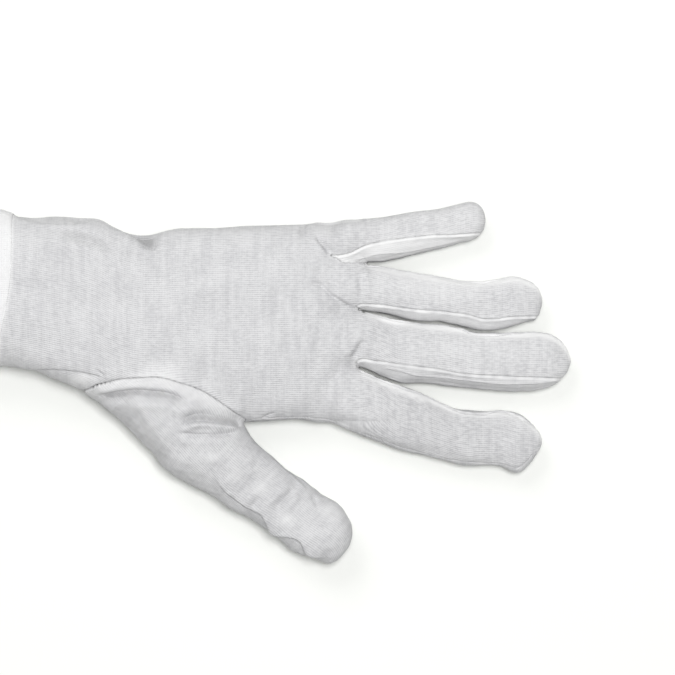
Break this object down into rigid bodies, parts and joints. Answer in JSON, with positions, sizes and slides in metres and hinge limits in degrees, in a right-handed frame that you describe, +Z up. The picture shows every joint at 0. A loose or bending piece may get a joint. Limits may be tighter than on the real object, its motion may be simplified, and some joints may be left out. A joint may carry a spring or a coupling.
{
  "type": "knit glove",
  "caption": "White cotton knit dress glove for a right hand in its worn shape, lying palm up, with a set-in thumb, side strips between the fingers and a turned cuff hem.",
  "frame": {"origin": "middle of the bounding box's foot, on the surface that the back of the glove lies on", "axes": "+X from the cuff's mouth to the fingertips, +Y to the little finger's side, +Z up out of the palm"},
  "size_m": [0.2546, 0.1516, 0.0413],
  "materials": {
    "knit_cloth": "matt white cotton interlock knit with fine ribs along the hand",
    "strip_cloth": "the same white cotton knit, cut as narrow side strips",
    "hem_cloth": "the same white cotton knit turned double and stitched"
  },
  "bodies": {
    "root": {"palm_panel": "knit_cloth", "back_panel": "knit_cloth", "thumb": "knit_cloth", "cuff_hem": "hem_cloth", "fourchette_ring_little": "strip_cloth", "fourchette_middle_ring": "strip_cloth", "fourchette_index_middle": "strip_cloth"}
  },
  "joints": []
}
